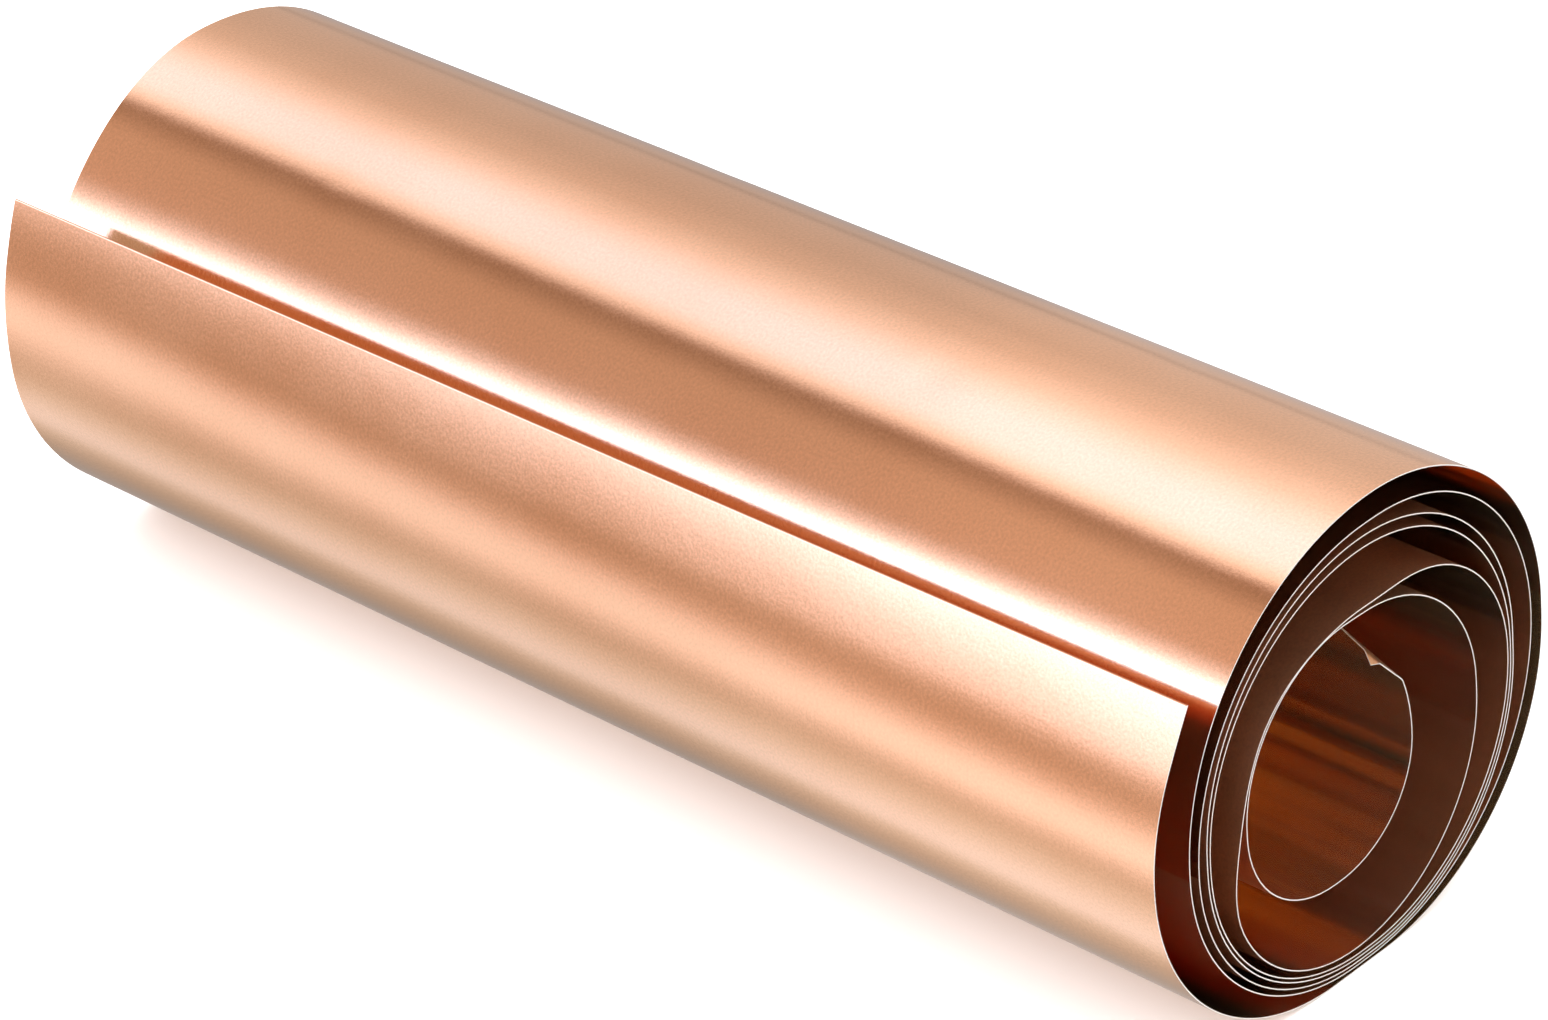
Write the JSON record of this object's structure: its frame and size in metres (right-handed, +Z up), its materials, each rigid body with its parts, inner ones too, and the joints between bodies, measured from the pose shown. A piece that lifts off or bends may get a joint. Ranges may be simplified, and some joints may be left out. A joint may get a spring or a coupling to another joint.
{
  "type": "copper foil roll",
  "caption": "Strip of plain thin copper sheet wound into a loose coil on its side, with a free outer flap that peels open, laps that slide along the roll and a springy inner tail.",
  "frame": {"origin": "on the table under the middle of the roll: the centre of the roll's box across and along, at the height of the flattened underside", "axes": "+X along the roll towards the end face that has the bent corner, +Y across the roll away from the free flap, +Z up"},
  "size_m": [0.2, 0.0702, 0.0632],
  "materials": {
    "outer_copper": "satin",
    "inner_copper": "satin",
    "burr_copper": "polished"
  },
  "bodies": {
    "coil": {"outer_lap": "outer_copper"},
    "flap_1": {"flap_panel_1": "outer_copper"},
    "flap_2": {"flap_panel_2": "outer_copper"},
    "flap_3": {"flap_panel_3": "outer_copper"},
    "lip": {"flap_lip": "outer_copper"},
    "lap_2": {"lap_2": "inner_copper"},
    "lap_3": {"lap_3": "inner_copper"},
    "lap_4": {"lap_4": "inner_copper"},
    "lap_5": {"lap_5": "inner_copper"},
    "lap_6": {"lap_6": "inner_copper"},
    "tail_1": {"tail_panel_1": "inner_copper"},
    "tail_2": {"tail_panel_2": "inner_copper"},
    "tail_3": {"tail_panel_3": "inner_copper"},
    "tail_4": {"tail_panel_4": "inner_copper"},
    "tail_end": {"tail_end": "inner_copper", "bent_corner": "burr_copper"}
  },
  "joints": [
    {"name": "flap_peel", "type": "hinge", "parent": "coil", "child": "flap_1", "pos_m": [0, -0.01651, 0.00229], "axis": [1, 0, 0], "range_deg": [-1.5, 18], "stiffness_Nm_per_rad": 0.5},
    {"name": "flap_peel_2", "type": "hinge", "parent": "flap_1", "child": "flap_2", "pos_m": [0, -0.02627, 0.00881], "axis": [1, 0, 0], "range_deg": [-1.5, 18], "stiffness_Nm_per_rad": 0.5},
    {"name": "flap_peel_3", "type": "hinge", "parent": "flap_2", "child": "flap_3", "pos_m": [0, -0.03279, 0.01857], "axis": [1, 0, 0], "range_deg": [-1.5, 18], "stiffness_Nm_per_rad": 0.5},
    {"name": "lip_peel", "type": "hinge", "parent": "flap_3", "child": "lip", "pos_m": [0, -0.03508, 0.03008], "axis": [1, 0, 0], "range_deg": [-1.5, 18], "stiffness_Nm_per_rad": 0.5},
    {"name": "telescope", "type": "slide", "parent": "coil", "child": "lap_2", "axis": [1, 0, 0], "range_m": [-0.003, 0.003]},
    {"name": "telescope_2", "type": "slide", "parent": "lap_2", "child": "lap_3", "axis": [1, 0, 0], "range_m": [-0.003, 0.003]},
    {"name": "telescope_3", "type": "slide", "parent": "lap_3", "child": "lap_4", "axis": [1, 0, 0], "range_m": [-0.003, 0.003]},
    {"name": "telescope_4", "type": "slide", "parent": "lap_4", "child": "lap_5", "axis": [1, 0, 0], "range_m": [-0.003, 0.003]},
    {"name": "telescope_5", "type": "slide", "parent": "lap_5", "child": "lap_6", "axis": [1, 0, 0], "range_m": [-0.003, 0.003]},
    {"name": "tail_flex", "type": "hinge", "parent": "lap_6", "child": "tail_1", "pos_m": [0, -0.0185, 0.02908], "axis": [1, 0, 0], "range_deg": [-3, 3], "stiffness_Nm_per_rad": 0.5},
    {"name": "tail_flex_2", "type": "hinge", "parent": "tail_1", "child": "tail_2", "pos_m": [0, -0.01425, 0.01832], "axis": [1, 0, 0], "range_deg": [-3, 3], "stiffness_Nm_per_rad": 0.5},
    {"name": "tail_flex_3", "type": "hinge", "parent": "tail_2", "child": "tail_3", "pos_m": [0, -0.004, 0.01408], "axis": [1, 0, 0], "range_deg": [-3, 3], "stiffness_Nm_per_rad": 0.5},
    {"name": "tail_flex_4", "type": "hinge", "parent": "tail_3", "child": "tail_4", "pos_m": [0, 0.00655, 0.01803], "axis": [1, 0, 0], "range_deg": [-3, 3], "stiffness_Nm_per_rad": 0.5},
    {"name": "tail_flex_5", "type": "hinge", "parent": "tail_4", "child": "tail_end", "pos_m": [0, 0.0105, 0.02757], "axis": [1, 0, 0], "range_deg": [-3, 3], "stiffness_Nm_per_rad": 0.5}
  ],
  "couplings": [
    {"joint": "flap_peel_2", "follows": "flap_peel", "ratio": 1},
    {"joint": "flap_peel_3", "follows": "flap_peel", "ratio": 1},
    {"joint": "lip_peel", "follows": "flap_peel", "ratio": 1},
    {"joint": "telescope_2", "follows": "telescope", "ratio": 1},
    {"joint": "telescope_3", "follows": "telescope", "ratio": 1},
    {"joint": "telescope_4", "follows": "telescope", "ratio": 1},
    {"joint": "telescope_5", "follows": "telescope", "ratio": 1},
    {"joint": "tail_flex_2", "follows": "tail_flex", "ratio": 1},
    {"joint": "tail_flex_3", "follows": "tail_flex", "ratio": 1},
    {"joint": "tail_flex_4", "follows": "tail_flex", "ratio": 1},
    {"joint": "tail_flex_5", "follows": "tail_flex", "ratio": 1}
  ]
}
